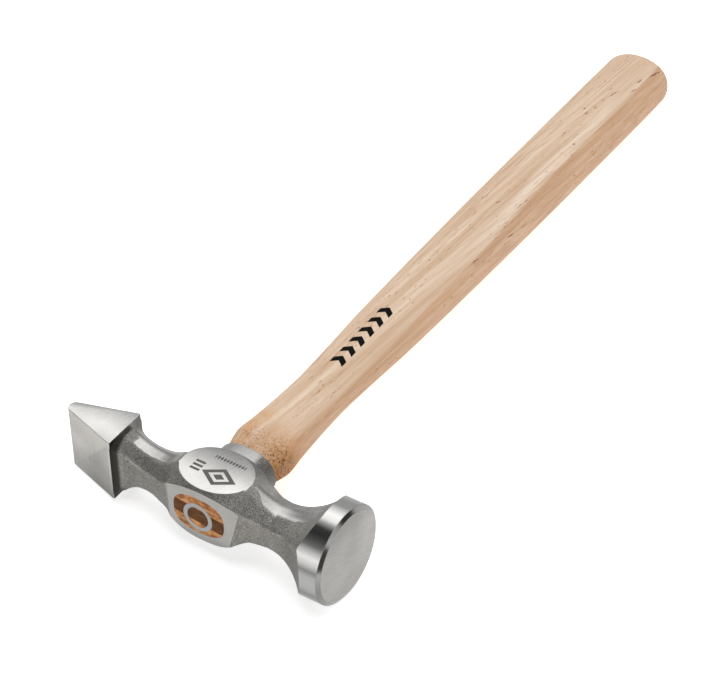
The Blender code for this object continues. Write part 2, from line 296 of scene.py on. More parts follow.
def cheek_height(x, arc):
    """Height of the upper facet: hollow along the neck, then up a slope to the cheek's ground oval."""
    height = hollow(x, arc)
    if abs(x) < abs(arc[1]):
        slope = CHEEK_Z - CHEEK_SLOPE * (abs(x) - CHEEK_HALF_X)
        return min(smooth_min(height, slope, CHEEK_BLEND), CHEEK_Z)
    if x < 0:
        return min(height, PEEN_HALF_Z - PEEN_STEP)
    return height


def block_fillet(x):
    """How far the neck swells as it runs into the back of the peen block."""
    along = min(max(x - PEEN_BASE_X, 0.0), BLOCK_FILLET_LENGTH) / BLOCK_FILLET_LENGTH
    return BLOCK_FILLET_HEIGHT * (1 - math.sqrt(1 - (1 - along) ** 2))


def flat_edge(x, outline):
    """Half height of the ground flat round the eye, never below the side facets of the necks."""
    half, middle_x, reach = outline
    return max(half * (1 - (abs(x - middle_x) / reach) ** FLAT_EDGE_POWER), FLAT_EDGE_LOWEST)


def far_swell(x):
    """How much further the handle side stands out than the near side, growing in over both ends."""
    part = min(1.0, (FLAT_REACH_X - abs(x)) / FAR_SWELL_LENGTH)
    return (HANDLE_SIDE_Y - EYE_FLAT_Y) * part**2 * (3 - 2 * part)


def octagon(x):
    """The eight corners of the forged section, as (y, z) from the upper near corner round."""
    neck = PEEN_NECK if x < 0 else POLL_NECK
    swell = block_fillet(x)
    side = hollow(x, neck["side"]) + swell
    cheek = cheek_height(x, neck["cheek"])
    flats = [hollow(x, neck["side_flat"]) + CORNER_SHARE * swell] * 3
    near_y, far_y = side, side
    if abs(x) < FLAT_REACH_X:
        near_y = min(side, EYE_FLAT_Y)
        far_y = min(side + far_swell(x), HANDLE_SIDE_Y)
        edges = [flat_edge(x, outline) for outline in (UPPER_FLAT, LOWER_FLAT, FAR_FLAT)]
        flats = [smooth_min(flat, edge, FLAT_BLEND) for flat, edge in zip(flats, edges)]
    upper_flat, lower_flat, far_flat = flats
    neck_flat = neck["cheek_flat"] + CORNER_SHARE * swell
    oval_half = CHEEK_HALF_Y * math.sqrt(max(0.0, 1 - (x / CHEEK_HALF_X) ** 2))
    near_edge = max(neck_flat, oval_half - CHEEK_CENTRE_Y)
    far_edge = max(neck_flat, oval_half + CHEEK_CENTRE_Y)
    upper = [(-near_y, upper_flat), (-near_edge, cheek), (far_edge, cheek), (far_y, far_flat)]
    lower = [(far_y, -far_flat), (far_edge, -cheek), (-near_edge, -cheek), (-near_y, -lower_flat)]
    return upper + lower


def blend_points(a, b, part):
    return (a[0] + (b[0] - a[0]) * part, a[1] + (b[1] - a[1]) * part)


def curve_points(first, corner, last):
    """A curve from first to last that bends round inside the corner."""
    points = []
    for i in range(EDGE_STEPS + 1):
        part = i / EDGE_STEPS
        before, after = blend_points(first, corner, part), blend_points(corner, last, part)
        points.append(blend_points(before, after, part))
    return points


def softened_ring(x):
    """The forged section with rounded corners and, towards the poll, crowned corner facets."""
    corners = octagon(x)
    changed = min(max((abs(x) - EDGE_CHANGE_FROM_X) / EDGE_CHANGE_LENGTH, 0.0), 1.0)
    softness = GROUND_EDGE + (FORGED_EDGE - GROUND_EDGE) * changed
    reach = max(0.0, x - NECK_ROUNDING_FROM_X) / (NECK_END_X - NECK_ROUNDING_FROM_X)
    crown = NECK_ROUNDING * reach**2
    outline = []
    for i, corner in enumerate(corners):
        before, after = corners[i - 1], corners[(i + 1) % len(corners)]
        cut_in, cut_out = (min(MOST_CUT, softness / math.dist(corner, other)) for other in (before, after))
        start, end = blend_points(corner, before, cut_in), blend_points(corner, after, cut_out)
        outline += curve_points(start, corner, end)
        stop = blend_points(after, corner, cut_out)
        for k in range(1, SIDE_STEPS):
            y, z = blend_points(end, stop, k / SIDE_STEPS)
            # Every second side of the octagon is a sloping corner facet
            if i % 2 == 0:
                grow = 1 + crown * (1 - (2 * k / SIDE_STEPS - 1) ** 2) / math.hypot(y, z)
                y, z = y * grow, z * grow
            outline.append((y, z))
    return [(x, y, z) for y, z in outline]


def make_forging():
    rings = [[(x - OVERLAP, y, z) for x, y, z in softened_ring(PEEN_BASE_X)]]
    for turn in quarter_turn(FILLET_STEPS)[:-1]:
        rings.append(softened_ring(PEEN_BASE_X + BLOCK_FILLET_LENGTH * (1 - math.cos(turn))))
    start_x = PEEN_BASE_X + BLOCK_FILLET_LENGTH
    for i in range(FORGING_STEPS + 1):
        rings.append(softened_ring(start_x + (NECK_END_X - start_x) * i / FORGING_STEPS))
    rings.append([(FACE_X + OVERLAP, y, z) for x, y, z in rings[-1]])
    return loft("head", rings)


def make_turned_envelope():
    """The poll's turned outline with a rounded edge at each end of the chamfer."""
    small, lean = CHAMFER_EDGE, CHAMFER_EDGE * 0.6
    chamfer_x, rim = FACE_X - FACE_CHAMFER_LENGTH, FACE_RADIUS - FACE_CHAMFER_DEPTH
    profile = [
        (PEEN_APEX_X, FACE_RADIUS),
        (chamfer_x - small, FACE_RADIUS),
        (chamfer_x + lean, FACE_RADIUS - small),
        (FACE_X - small, rim + lean),
        (FACE_X, rim - small),
    ]
    return loft("turned_envelope", [circle_across_x(x, radius) for x, radius in profile])


def rounded_corner(side):
    """A back corner of the block in plan, cut back along both its faces. Side is the sign of its Y."""
    corner = (PEEN_BASE_X, side * PEEN_HALF_Y)
    on_back = (PEEN_BASE_X, side * (PEEN_HALF_Y - PEEN_ROUNDING))
    run, rise = PEEN_ROUNDING * math.cos(PEEN_SLOPE), PEEN_ROUNDING * math.sin(PEEN_SLOPE)
    on_slope = (PEEN_BASE_X - run, side * (PEEN_HALF_Y - rise))
    first, last = (on_slope, on_back) if side < 0 else (on_back, on_slope)
    return curve_points(first, corner, last)


def make_peen_block():
    tip_x = PEEN_APEX_X + PEEN_TIP_RADIUS / math.sin(PEEN_SLOPE)
    plan = rounded_corner(-1) + rounded_corner(1)
    start = math.pi / 2 + PEEN_SLOPE
    for i in range(PEEN_TIP_STEPS + 1):
        turn = start + 2 * (math.pi - start) * i / PEEN_TIP_STEPS
        plan.append((tip_x + PEEN_TIP_RADIUS * math.cos(turn), PEEN_TIP_RADIUS * math.sin(turn)))
    block = loft("peen_block", [[(x, y, z) for x, y in plan] for z in (-PEEN_HALF_Z, PEEN_HALF_Z)])
    bevel(block, PEEN_EDGE_BEVEL, 3)
    return block


def make_collar():
    wide_x, wide_z = COLLAR_HALF_X + COLLAR_FLARE, COLLAR_HALF_Z + COLLAR_FLARE
    rings = [oval(COLLAR_ROOT_Y, wide_x, wide_z, COLLAR_ROUNDNESS)]
    for turn in quarter_turn(COLLAR_RIM_STEPS):
        inset = COLLAR_RIM_ROUNDING * (1 - math.cos(turn))
        y = COLLAR_RIM_Y - COLLAR_RIM_ROUNDING * (1 - math.sin(turn))
        rings.append(oval(y, COLLAR_HALF_X - inset, COLLAR_HALF_Z - inset, COLLAR_ROUNDNESS))
    return loft("collar", rings)


def make_head(materials):
    head = make_forging()
    combine(head, make_turned_envelope(), "INTERSECT")
    combine(head, make_peen_block(), "UNION")
    combine(head, make_collar(), "UNION")
    ends = (-EYE_FLAT_Y - OVERLAP, COLLAR_RIM_Y + OVERLAP)
    combine(head, loft("eye", [eye_oval(y, 0.0) for y in ends]), "DIFFERENCE")
    finish_piece(head, "head", materials, STEEL_SHARP)


# ---------------- handle and wedges


def handle_size(y):
    """Half widths along X and Z, from a Catmull-Rom curve through the stations."""
    table = HANDLE_STATIONS
    i = max(k for k in range(len(table) - 1) if table[k][0] <= y)
    span = table[i + 1][0] - table[i][0]
    part = (y - table[i][0]) / span
    sizes = []
    for column in (1, 2):
        slopes = []
        for k in (i, i + 1):
            below, above = table[max(k - 1, 0)], table[min(k + 1, len(table) - 1)]
            slopes.append((above[column] - below[column]) / (above[0] - below[0]) * span)
        sizes.append(
            (2 * part**3 - 3 * part**2 + 1) * table[i][column]
            + (part**3 - 2 * part**2 + part) * slopes[0]
            + (3 * part**2 - 2 * part**3) * table[i + 1][column]
            + (part**3 - part**2) * slopes[1]
        )
    return sizes


def handle_rings():
    first_y, butt_y = HANDLE_STATIONS[0][0], HANDLE_STATIONS[-1][0]
    rings = []
    for i in range(TENON_STEPS + 1):
        rings.append(eye_oval(-EYE_FLAT_Y + (COLLAR_RIM_Y + EYE_FLAT_Y) * i / TENON_STEPS, TIGHT_GAP))
    for i in range(GRIP_STEPS):
        y = first_y + (butt_y - first_y) * i / GRIP_STEPS
        half_x, half_z = handle_size(y)
        change = min(1.0, (y - first_y) / (WAIST_Y - first_y))
        roundness = EYE_ROUNDNESS + (GRIP_ROUNDNESS - EYE_ROUNDNESS) * change
        rings.append(oval(y, half_x, half_z, roundness))
    half_x, half_z = HANDLE_STATIONS[-1][1:]
    for turn in quarter_turn(BUTT_STEPS):
        y = butt_y + (HANDLE_END_Y - butt_y) * math.sin(turn)
        inset = BUTT_INSET * (1 - math.cos(turn))
        rings.append(oval(y, half_x - inset, half_z - inset, GRIP_ROUNDNESS))
    return rings


def wedge_plate_rings(top, tip, clearance):
    """A tilted plate wider than the eye that thins from the eye flat down into the tenon."""
    reach = EYE_HALF_X + OVERLAP
    cos, sin = math.cos(math.radians(WEDGE_TILT)), math.sin(math.radians(WEDGE_TILT))
    slope = (WEDGE_TOP - WEDGE_TIP) / 2 / WEDGE_LENGTH
    rings = []
    for depth in (top, tip):
        half = WEDGE_TOP / 2 - slope * depth + clearance
        y = depth - EYE_FLAT_Y
        corners = ((-reach, -half), (reach, -half), (reach, half), (-reach, half))
        rings.append([(x * cos + z * sin, y, WEDGE_CENTRE_Z - x * sin + z * cos) for x, z in corners])
    return rings


def ring_tube(name, top, tip, clearance):
    """The round wedge, or with a clearance the slot that it sits in."""
    outer = RING_OUTER + clearance
    tube = loft(name, [circle_across_y(depth - EYE_FLAT_Y, outer) for depth in (top, tip)])
    ends = (-EYE_FLAT_Y - 3 * OVERLAP, RING_DEPTH - EYE_FLAT_Y + 3 * OVERLAP)
    bore = loft("bore", [circle_across_y(y, RING_OUTER - RING_WALL - clearance) for y in ends])
    combine(tube, bore, "DIFFERENCE")
    return tube


def ring_slot():
    return ring_tube("ring_slot", -OVERLAP, RING_DEPTH + TIGHT_GAP, TIGHT_GAP)


def mark_end_grain(obj):
    """The second material goes on the end face that shows in the eye."""
    for face in obj.data.polygons:
        if face.normal.y < -0.9 and face.center.y < (END_FACE_DEPTH - EYE_FLAT_Y) * MM:
            face.material_index = 1


def make_handle(materials):
    handle = loft("handle", handle_rings())
    kerf = loft("kerf", wedge_plate_rings(-OVERLAP, WEDGE_LENGTH + OVERLAP, TIGHT_GAP))
    combine(handle, kerf, "DIFFERENCE")
    combine(handle, ring_slot(), "DIFFERENCE")
    finish_piece(handle, "handle", materials)
    mark_end_grain(handle)
    handle.visible_glossy = False


def make_wooden_wedge(materials):
    wedge = loft("wooden_wedge", wedge_plate_rings(0.0, WEDGE_LENGTH, 0.0))
    ends = (-EYE_FLAT_Y - OVERLAP, COLLAR_RIM_Y)
    combine(wedge, loft("outline", [eye_oval(y, TIGHT_GAP) for y in ends]), "INTERSECT")
    combine(wedge, ring_slot(), "DIFFERENCE")
    finish_piece(wedge, "wooden_wedge", materials)


def make_ring_wedge(materials):
    ring = ring_tube("round_steel_wedge", 0.0, RING_DEPTH, 0.0)
    bevel(ring, RING_EDGE_BEVEL, 2)
    finish_piece(ring, "round_steel_wedge", materials)


# ---------------- material helpers


class Graph:
    """Short calls for building a node tree. Inputs can be sockets or plain values."""

    def __init__(self, tree):
        self.tree = tree

    def node(self, kind, settings=None, **inputs):
        node = self.tree.nodes.new(kind)
        for key, value in (settings or {}).items():
            setattr(node, key, value)
        for key, value in inputs.items():
            self.feed(node.inputs[key.replace("_", " ")], value)
        return node

    def feed(self, socket, value):
        if isinstance(value, bpy.types.NodeSocket):
            self.tree.links.new(value, socket)
        elif socket.type == "RGBA" and len(value) == 3:
            socket.default_value = (*value, 1.0)
        else:
            socket.default_value = value

    def operate(self, kind, operation, values):
        node = self.node(kind, {"operation": operation})
        for socket, value in zip(node.inputs, values):
            self.feed(socket, value)
        return node.outputs

    def math(self, operation, *values):
        return self.operate("ShaderNodeMath", operation, values)[0]

    def vector(self, operation, *values):
        return self.operate("ShaderNodeVectorMath", operation, values)[0]

    def dot(self, *vectors):
        return self.operate("ShaderNodeVectorMath", "DOT_PRODUCT", vectors)["Value"]

    def plus(self, first, second):
        return self.math("ADD", first, second)

    def minus(self, first, second):
        return self.math("SUBTRACT", first, second)

    def scaled(self, value, factor, offset):
        return self.math("MULTIPLY_ADD", value, factor, offset)

    def abs(self, value):
        return self.math("ABSOLUTE", value)

    def chain(self, operation, first, others):
        for other in others:
            first = self.math(operation, first, other)
        return first

    def any(self, first, *masks):
        return self.chain("MAXIMUM", first, masks)

    def times(self, first, *factors):
        return self.chain("MULTIPLY", first, factors)

    # The product of masks is where all of them hold
    all = times

    def zone(self, *limits):
        """Where all are in limits: (value, start, full) or (value, start, full, last full, end)."""
        edges = []
        for value, *ends in limits:
            edges.append(self.fit(value, *ends[:2]))
            if len(ends) == 4:
                edges.append(self.fit(value, ends[3], ends[2]))
        return self.times(*edges)

    def fit(self, value, low, high, out_low=0.0, out_high=1.0, smooth=True):
        """Value from low to high becomes out_low to out_high, clamped. High may be below low."""
        if low > high:
            low, high, out_low, out_high = high, low, out_high, out_low
        kind = "SMOOTHSTEP" if smooth else "LINEAR"
        numbers = {"From_Min": low, "From_Max": high, "To_Min": out_low, "To_Max": out_high}
        node = self.node("ShaderNodeMapRange", {"interpolation_type": kind}, Value=value, **numbers)
        return node.outputs["Result"]

    def mixed(self, data_type, place, factor, first, second):
        """A Mix node. Its sockets for each type of data start at a different place."""
        node = self.node("ShaderNodeMix", {"data_type": data_type}, Factor=factor)
        self.feed(node.inputs[place], first)
        self.feed(node.inputs[place + 1], second)
        return node.outputs[place // 2 - 1]

    def mix(self, *values):
        """Two colours mixed by the factor that comes first."""
        return self.mixed("RGBA", 6, *values)

    def blend(self, *values):
        """Two plain numbers mixed by the factor that comes first."""
        return self.mixed("FLOAT", 2, *values)

    def mix_vector(self, *values):
        return self.mixed("VECTOR", 4, *values)

    def ramp(self, factor, stops):
        node = self.node("ShaderNodeValToRGB", Fac=factor)
        elements = node.color_ramp.elements
        while len(elements) < len(stops):
            elements.new(1.0)
        for element, (place, colour) in zip(elements, stops):
            element.position = place
            element.color = (*colour, 1.0)
        return node.outputs["Color"]


class Surface(Graph):
    """A material under way: its position in millimetres from the eye, and its colour so far."""

    def __init__(self, name):
        self.material = bpy.data.materials.new(name)
        self.material.use_nodes = True
        super().__init__(self.material.node_tree)
        self.shader = self.tree.nodes["Principled BSDF"]
        place = self.node("ShaderNodeTexCoord").outputs["Object"]
        self.position = self.vector("MULTIPLY_ADD", place, (1 / MM,) * 3, (-EYE_X, 0, 0))
        self.x, self.y, self.z = self.node("ShaderNodeSeparateXYZ", Vector=self.position).outputs

    def noise(self, vector, scale, detail=2.0, roughness=0.5):
        numbers = {"Scale": scale, "Detail": detail, "Roughness": roughness}
        return self.node("ShaderNodeTexNoise", Vector=vector, **numbers).outputs["Fac"]

    def cells(self, vector, scale):
        return self.node("ShaderNodeTexVoronoi", Vector=vector, Scale=scale).outputs["Distance"]

    def stretched(self, factors, turn=(0.0, 0.0, 0.0)):
        """The position turned by degrees, then multiplied by factors."""
        rotation = tuple(math.radians(angle) for angle in turn)
        settings = {"rotation_type": "EULER_XYZ"}
        turned = self.node("ShaderNodeVectorRotate", settings, Vector=self.position, Rotation=rotation)
        return self.vector("MULTIPLY", turned.outputs[0], factors)

    def paint(self, mask, colour, strength=None):
        """Lays a colour over the colour so far."""
        if strength:
            mask = self.times(mask, strength)
        self.colour = self.mix(mask, self.colour, colour)

    def tint(self, factors):
        return self.vector("MULTIPLY", self.colour, factors)

    def triple(self, value):
        return self.node("ShaderNodeCombineXYZ", X=value, Y=value, Z=value).outputs[0]

    def bump(self, height, distance, strength=1.0, normal=None):
        node = self.node("ShaderNodeBump", Height=height, Distance=distance * MM, Strength=strength)
        if normal:
            self.feed(node.inputs["Normal"], normal)
        return node.outputs["Normal"]

    def finish(self, roughness, metallic=0.0, normal=None, specular=0.5):
        values = {"Base Color": self.colour, "Roughness": roughness, "Metallic": metallic}
        values["Specular IOR Level"] = specular
        if normal:
            values["Normal"] = normal
        for key, value in values.items():
            self.feed(self.shader.inputs[key], value)
        return self.material


# ---------------- steel


GROUND_LIGHT = (0.68, 0.675, 0.66)
GROUND_MID = (0.58, 0.575, 0.56)
GROUND_DARK = (0.46, 0.455, 0.44)
BLASTED_LIGHT = (0.54, 0.525, 0.495)
BLASTED_MID = (0.33, 0.318, 0.296)
BLASTED_DARK = (0.17, 0.162, 0.147)
PAINTED_DEEP_SHADE = (0.065, 0.06, 0.054)
FAR_FACET_HIGHLIGHT = (0.78, 0.77, 0.75)
DISC_RIM = (0.62, 0.615, 0.6)
ETCHED = (0.19, 0.183, 0.172)
WARM_TINT = (1.01, 0.985, 0.955)
NEAR_SIDE_REFLECTION_TINT = (1.2, 1.19, 1.18)
FORGED_TONES = ((0.38, BLASTED_DARK), (0.5, BLASTED_MID), (0.64, BLASTED_LIGHT))
GROUND_TONES = ((0.32, GROUND_DARK), (0.53, GROUND_MID), (0.74, GROUND_LIGHT))
RING_TONES = ((0.3, (0.46, 0.46, 0.45)), (0.55, (0.6, 0.6, 0.59)), (0.75, (0.74, 0.74, 0.73)))
RING_SPECK = (0.38, 0.38, 0.37)

# Limits in mm of the areas with a finish, painted shade or painted highlight of their own: (start, full),
# or (start, full, last full, end)
CHEEK_SKIN_Z = (CHEEK_Z - 0.05, CHEEK_Z - 0.02)
CHEEK_END_X = (14.3, 14.1)
EYE_FLAT_SKIN = (0.14, 0.08)
EYE_FLAT_LEANS = (-0.228, 0.11)
EYE_FLAT_POLL_END = (14.15, 14.0)
EYE_FLAT_PEEN_END = (-13.3, -12.9)
DISC_SKIN = (FACE_RADIUS - 0.06, FACE_RADIUS - 0.03)
DISC_START_X = (40.0, 40.5)
CHAMFER_START_X = (51.7, 51.8)
FACE_START_X = (FACE_X - 0.1, FACE_X - 0.02)
BLOCK_START_X = (PEEN_BASE_X - 0.05, PEEN_BASE_X - 0.15)
BLOCK_EDGE_Z = (PEEN_HALF_Z - 0.25, PEEN_HALF_Z - 0.1)
# Where shade is painted in the inside corner at the back of the peen block
BLOCK_FILLET_SHADE_X = (PEEN_BASE_X - 0.2, PEEN_BASE_X - 0.05, PEEN_BASE_X + 1.2, PEEN_BASE_X + 2.3)
PEEN_FAR_HIGHLIGHT_X = (PEEN_BASE_X + 1.2, PEEN_BASE_X + 3.8, -23.0, -9.0)
PATCH_ABS_Z = (4.5, 5.0)
PATCH_Y = (3.4, 3.0)
PATCH_ABS_X = (14.8, 15.6)
PEEN_PATCH_X = (-31.9, -31.1)
PEEN_PATCH_Y = (-0.75, -0.5)
POLL_PATCH_X = (43.0, 39.5)
COLLAR_PATCH_Y = (12.6, 13.4)
# The slanting near edge of the patch on the poll's neck: X at both its ends, then Y there
POLL_PATCH_EDGE = (16.5, 21.5, 2.2, -1.7)
# Areas that are not fully ground, among them the masks of painted shade, painted highlight and painted
# reflection
SOFT_REGIONS = ("patch", "collar", "block_fillet", "far_facet_highlight", "near_side", "ridge_wear_and_highlight")

# How strongly the ground flats are crowned, per mm squared from their middle line
CROWN_ALONG_Y = -0.0066
CROWN_ALONG_Z = -0.003

# Grinding marks: how closely they repeat along X, Y and Z, and their turn in degrees
BLOCK_SCRATCHES = (6.0, 6.0, 0.25)
TOP_SCRATCHES = ((9.0, 0.22, 1.0), (0, 0, 32))
AREA_SCRATCHES = (
    ("eye_flat", (6.0, 1.0, 0.4), (0, 0, 0)),
    ("disc_side", (6.0, 0.5, 0.5), (0, 0, 0)),
    ("disc_face", (1.0, 0.12, 5.0), (28, 0, 0)),
    ("patch", (2.2, 0.8, 1.0), (0, 0, 12)),
)

# Slow changes of tone, mostly painted light and shade: the area, the limits of a place in it, and a factor
# on its colour. The factor is one number, or it runs along an axis: (axis, start, end, factor at the start,
# factor at the end).
SHADING_AND_TONES = (
    # Painted reflection gradients across the cheek and the top of the block
    ("cheek", {}, ("y", 9.0, -5.0, 0.8, 1.1)),
    ("cheek", {}, ("x", 4.0, 10.0, 1.0, 1.1)),
    ("block_top", {}, ("y", 1.0, 8.0, 1.02, 1.12)),
    # Painted shading on the block's sides: lighter towards the top, a lighter lower part towards the apex,
    # and darker at the bottom near the apex
    ("block_sides", {}, ("z", -PEEN_HALF_Z, PEEN_HALF_Z, 0.88, 1.42)),
    ("block_sides", {"x": (-44.0, -58.0)}, ("z", 9.0, -2.0, 1.0, 1.55)),
    ("block_sides", {"x": (-58.0, -50.0)}, ("z", -6.0, -12.0, 1.0, 0.8)),
    ("patch", {}, ("x", -31.0, -20.0, 1.05, 0.735)),
    ("patch", {}, ("x", 18.0, 26.0, 1.0, 1.36)),
    ("patch", {"x": (0.0, -1.0)}, ("abs_x", 19.0, 17.0, 1.0, 1.4)),
    ("forged", {"x": (16.0, 20.0), "z": (4.0, 6.0), "y": (-1.0, -3.0)}, 1.2),
    ("forged_near", {}, ("x", 30.0, 36.0, 1.0, 0.82)),
    # Painted shade towards the top and bottom of the striking face, lighter towards its far side
    ("disc_face", {}, ("z", 4.0, 15.0, 1.13, 0.92)),
    ("disc_face", {}, ("y", 4.0, 12.0, 1.0, 1.13)),
    ("disc_face", {}, ("z", -6.0, -15.0, 1.0, 0.93)),
    ("forged", {"x": (11.0, 13.5, 17.0, 23.0), "y": (1.0, 4.0, 9.0, 12.0), "z": (3.0, 5.0)}, 1.45),
    ("forged", {"y": (-5.0, -6.5), "abs_x": (14.0, 11.0), "z": (3.0, 5.0)}, 0.88),
    # Painted shade along the underside below the eye flat
    ("all", {"z": (-6.5, -9.5), "abs_x": (18.0, 14.0)}, 0.78),
    ("patch", {"x": (28.0, 31.0)}, 0.8),
)


def steel_regions(g):
    """Masks of the areas of the head that differ from its blasted skin, among them where shade, highlights
    and reflections are painted.
    """
    abs_z = g.abs(g.z)
    abs_x = g.abs(g.x)
    radius = g.math("SQRT", g.plus(g.times(g.y, g.y), g.times(g.z, g.z)))
    within_block = g.fit(g.x, *BLOCK_START_X)
    poll_end, peen_end = (g.scaled(g.z, lean, g.x) for lean in EYE_FLAT_LEANS)
    near_sides = (hollow_socket(g, POLL_NECK["side"], 2), hollow_socket(g, PEEN_NECK["side"], 3))
    near_side = g.math("MINIMUM", g.math("MINIMUM", *near_sides), EYE_FLAT_Y)
    below_surface = g.plus(g.y, near_side)
    on = {
        "cheek": g.zone((abs_z, *CHEEK_SKIN_Z), (abs_x, *CHEEK_END_X)),
        "eye_flat": g.zone(
            (below_surface, *EYE_FLAT_SKIN), (poll_end, *EYE_FLAT_POLL_END), (peen_end, *EYE_FLAT_PEEN_END)
        ),
        "disc_side": g.zone((radius, *DISC_SKIN), (g.x, *DISC_START_X, *CHAMFER_START_X)),
        "disc_chamfer": g.zone((g.x, *CHAMFER_START_X, *FACE_START_X)),
        "disc_face": g.fit(g.x, *FACE_START_X),
        "block_top": g.all(within_block, g.fit(abs_z, *BLOCK_EDGE_Z)),
        "block_sides": g.all(within_block, g.fit(abs_z, *BLOCK_EDGE_Z[::-1])),
    }
    ragged = g.noise(g.stretched((0.22, 1.0, 1.0)), 0.9, 4.0, 0.65)
    ragged_y = g.scaled(ragged, 1.8, g.plus(g.y, 0.3))
    neck_top = g.zone((abs_z, *PATCH_ABS_Z), (g.y, *PATCH_Y), (abs_x, *PATCH_ABS_X))
    ragged_x = g.scaled(ragged, 3.0, g.x)
    poll_edge = g.fit(g.x, *POLL_PATCH_EDGE, smooth=False)
    peen_side, peen_reach = g.fit(g.x, 0.0, -1.0), g.fit(ragged_x, *PEEN_PATCH_X)
    peen_patch = g.all(neck_top, peen_side, peen_reach, g.fit(ragged_y, *PEEN_PATCH_Y))
    poll_side, poll_reach = g.fit(g.x, 0.0, 1.0), g.fit(g.x, *POLL_PATCH_X)
    poll_patch = g.all(neck_top, poll_side, poll_reach, g.fit(g.minus(ragged_y, poll_edge), -0.12, 0.12))
    on["patch"] = g.any(peen_patch, poll_patch)
    collar_ragged = (g.scaled(ragged, 2.5, g.y), *COLLAR_PATCH_Y)
    collar_rim = (g.y, COLLAR_RIM_Y, COLLAR_RIM_Y - 0.5)
    on["collar"] = g.zone(collar_ragged, collar_rim, (g.z, 4.0, 6.0), (g.x, 7.0, 5.0))
    # Painted shade: the inside corner where the neck runs into the back of the peen block
    on["block_fillet"] = g.zone((g.x, *BLOCK_FILLET_SHADE_X), (g.y, 3.4, 1.0))
    # Painted highlight: the facets on the far side of the necks are painted light
    far = g.any(g.zone((g.x, *PEEN_FAR_HIGHLIGHT_X)), g.times(g.fit(g.x, 14.0, 20.0), 0.3))
    on["far_facet_highlight"] = g.all(far, g.fit(g.y, 2.7, 3.6), g.fit(g.x, 40.0, 39.0))
    side_edge = g.minus(abs_z, g.any(neck_ridge(g, PEEN_NECK), neck_ridge(g, POLL_NECK)))
    # Painted reflection: the near side facets of the necks, lightened as if reflecting the bright floor
    on["near_side"] = g.zone((side_edge, 0.3, -0.3), (g.y, -3.0, -4.5), (abs_x, 11.0, 14.0))
    # Worn edges and painted highlight: a thin broken light line along the near ridges of the necks
    on_ridge, broken = (g.abs(side_edge), 0.42, 0.1), (ragged, 0.45, 0.6)
    on["ridge_wear_and_highlight"] = g.zone(on_ridge, broken, (g.y, -4.0, -5.0), (abs_x, 17.0, 20.0, 31.0, 34.0))
    return on


def neck_ridge(g, neck):
    """Half height of a neck's side facet, and 0 on the other neck."""
    arc = neck["side_flat"]
    beyond = g.fit(g.x, arc[1] - 0.02, arc[1] + 0.02)
    height = g.blend(beyond, hollow_socket(g, arc, 2), hollow_socket(g, arc, 3))
    return g.times(height, g.math("GREATER_THAN", g.times(g.x, arc[1]), 0.0))


def hollow_socket(g, arc, radius_index):
    """The hollow arc of a neck as a socket of g.x, with the radius of one of its sides."""
    low, low_x, radius = arc[0], arc[1], arc[radius_index]
    along = g.minus(g.x, low_x)
    inside = g.scaled(g.times(along, along), -1.0, radius**2)
    return g.minus(low + radius, g.math("SQRT", g.math("MAXIMUM", inside, 0.0)))


def crowned(g, tops, eye_flat):
    """Height in mm of the slight crown that belt grinding leaves on the flats."""
    along_y = g.times(g.y, g.y, CROWN_ALONG_Y)
    along_z = g.times(g.z, g.z, CROWN_ALONG_Z)
    return g.plus(g.times(along_y, tops), g.times(along_z, eye_flat))


